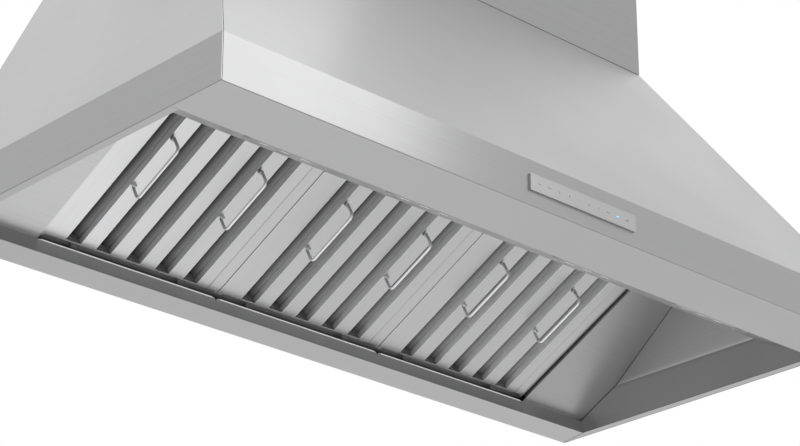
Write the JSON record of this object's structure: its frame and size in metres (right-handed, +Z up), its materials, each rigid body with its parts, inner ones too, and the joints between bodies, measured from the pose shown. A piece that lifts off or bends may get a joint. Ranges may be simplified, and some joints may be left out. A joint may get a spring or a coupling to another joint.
{
  "type": "wall mount range hood",
  "caption": "Wall mount range hood: pyramid canopy with sloping baffle filters and bail handles, light bars, touch panel, blowers and a telescoping duct cover.",
  "frame": {"origin": "centre of the four wall bolts, on the wall plane at the back of the canopy", "axes": "+X to the right as seen from the front, along the width; +Y into the wall; +Z up"},
  "size_m": [1.219, 0.613, 0.9232],
  "materials": {
    "stainless": "brushed",
    "galvanised": "dull",
    "motor_paint": "satin",
    "bezel": "satin",
    "lens": "frosted",
    "touch_glass": "satin",
    "electronics": "matt",
    "spring_steel": "dull"
  },
  "bodies": {
    "canopy": {"front_panel": "stainless", "left_panel": "stainless", "right_panel": "stainless", "back_panel": "galvanised", "top_plate": "galvanised", "front_lip_rail": "stainless", "left_lip_rail": "stainless", "right_lip_rail": "stainless", "rear_rail": "stainless", "left_filler": "stainless", "right_filler": "stainless", "light_panel": "stainless", "filter_clips": "spring_steel", "light_bar_1": "bezel", "light_bar_2": "bezel", "light_bar_3": "bezel", "light_bar_4": "bezel", "light_lenses": "lens", "control_panel": "touch_glass", "touch_module": "electronics", "left_blower_housing": "galvanised", "left_motor": "motor_paint", "left_motor_bracket": "galvanised", "right_blower_housing": "galvanised", "right_motor": "motor_paint", "right_motor_bracket": "galvanised", "blower_screws": "spring_steel", "outlet_box": "galvanised", "outlet_box_lid": "galvanised", "duct_collar": "galvanised", "damper_pin": "spring_steel", "lower_duct_cover": "stainless", "junction_box": "galvanised", "junction_cover": "galvanised", "driver_box": "electronics"},
    "filter_1": {"filter_1_face": "stainless", "filter_1_rear_baffles": "stainless", "filter_1_frame": "stainless"},
    "bail_1_left": {"bail_1_left": "stainless"},
    "bail_1_right": {"bail_1_right": "stainless"},
    "filter_2": {"filter_2_face": "stainless", "filter_2_rear_baffles": "stainless", "filter_2_frame": "stainless"},
    "bail_2_left": {"bail_2_left": "stainless"},
    "bail_2_right": {"bail_2_right": "stainless"},
    "filter_3": {"filter_3_face": "stainless", "filter_3_rear_baffles": "stainless", "filter_3_frame": "stainless"},
    "bail_3_left": {"bail_3_left": "stainless"},
    "bail_3_right": {"bail_3_right": "stainless"},
    "left_rotor": {"left_impeller": "galvanised", "left_shaft": "spring_steel"},
    "right_rotor": {"right_impeller": "galvanised", "right_shaft": "spring_steel"},
    "front_flap": {"front_damper_flap": "galvanised"},
    "rear_flap": {"rear_damper_flap": "galvanised"},
    "upper_cover": {"upper_duct_cover": "stainless", "cover_bracket": "galvanised"}
  },
  "joints": [
    {"name": "filter_1_lift_out", "type": "slide", "parent": "canopy", "child": "filter_1", "axis": [0, -0.4524, -0.8918], "range_m": [0, 0.24]},
    {"name": "bail_1_left_swing", "type": "hinge", "parent": "filter_1", "child": "bail_1_left", "pos_m": [-0.39285, -0.20484, -0.2879], "axis": [0, -0.8918, 0.4524], "range_deg": [-85, 85]},
    {"name": "bail_1_right_swing", "type": "hinge", "parent": "filter_1", "child": "bail_1_right", "pos_m": [-0.24165, -0.20484, -0.2879], "axis": [0, -0.8918, 0.4524], "range_deg": [-85, 85]},
    {"name": "filter_2_lift_out", "type": "slide", "parent": "canopy", "child": "filter_2", "axis": [0, -0.4524, -0.8918], "range_m": [0, 0.24]},
    {"name": "bail_2_left_swing", "type": "hinge", "parent": "filter_2", "child": "bail_2_left", "pos_m": [-0.08485, -0.20484, -0.2879], "axis": [0, -0.8918, 0.4524], "range_deg": [-85, 85]},
    {"name": "bail_2_right_swing", "type": "hinge", "parent": "filter_2", "child": "bail_2_right", "pos_m": [0.06635, -0.20484, -0.2879], "axis": [0, -0.8918, 0.4524], "range_deg": [-85, 85]},
    {"name": "filter_3_lift_out", "type": "slide", "parent": "canopy", "child": "filter_3", "axis": [0, -0.4524, -0.8918], "range_m": [0, 0.24]},
    {"name": "bail_3_left_swing", "type": "hinge", "parent": "filter_3", "child": "bail_3_left", "pos_m": [0.22315, -0.20484, -0.2879], "axis": [0, -0.8918, 0.4524], "range_deg": [-85, 85]},
    {"name": "bail_3_right_swing", "type": "hinge", "parent": "filter_3", "child": "bail_3_right", "pos_m": [0.37435, -0.20484, -0.2879], "axis": [0, -0.8918, 0.4524], "range_deg": [-85, 85]},
    {"name": "left_rotor_spin", "type": "hinge", "parent": "canopy", "child": "left_rotor", "pos_m": [-0.145, -0.165, -0.08], "axis": [1, 0, 0], "continuous": true},
    {"name": "right_rotor_spin", "type": "hinge", "parent": "canopy", "child": "right_rotor", "pos_m": [0.145, -0.165, -0.08], "axis": [1, 0, 0], "continuous": true},
    {"name": "front_flap_swing", "type": "hinge", "parent": "canopy", "child": "front_flap", "pos_m": [0, -0.145, 0.1772], "axis": [-1, 0, 0], "range_deg": [0, 80]},
    {"name": "rear_flap_swing", "type": "hinge", "parent": "canopy", "child": "rear_flap", "pos_m": [0, -0.145, 0.1772], "axis": [1, 0, 0], "range_deg": [0, 80]},
    {"name": "upper_cover_slide", "type": "slide", "parent": "canopy", "child": "upper_cover", "axis": [0, 0, 1], "range_m": [0, 0.3]}
  ]
}
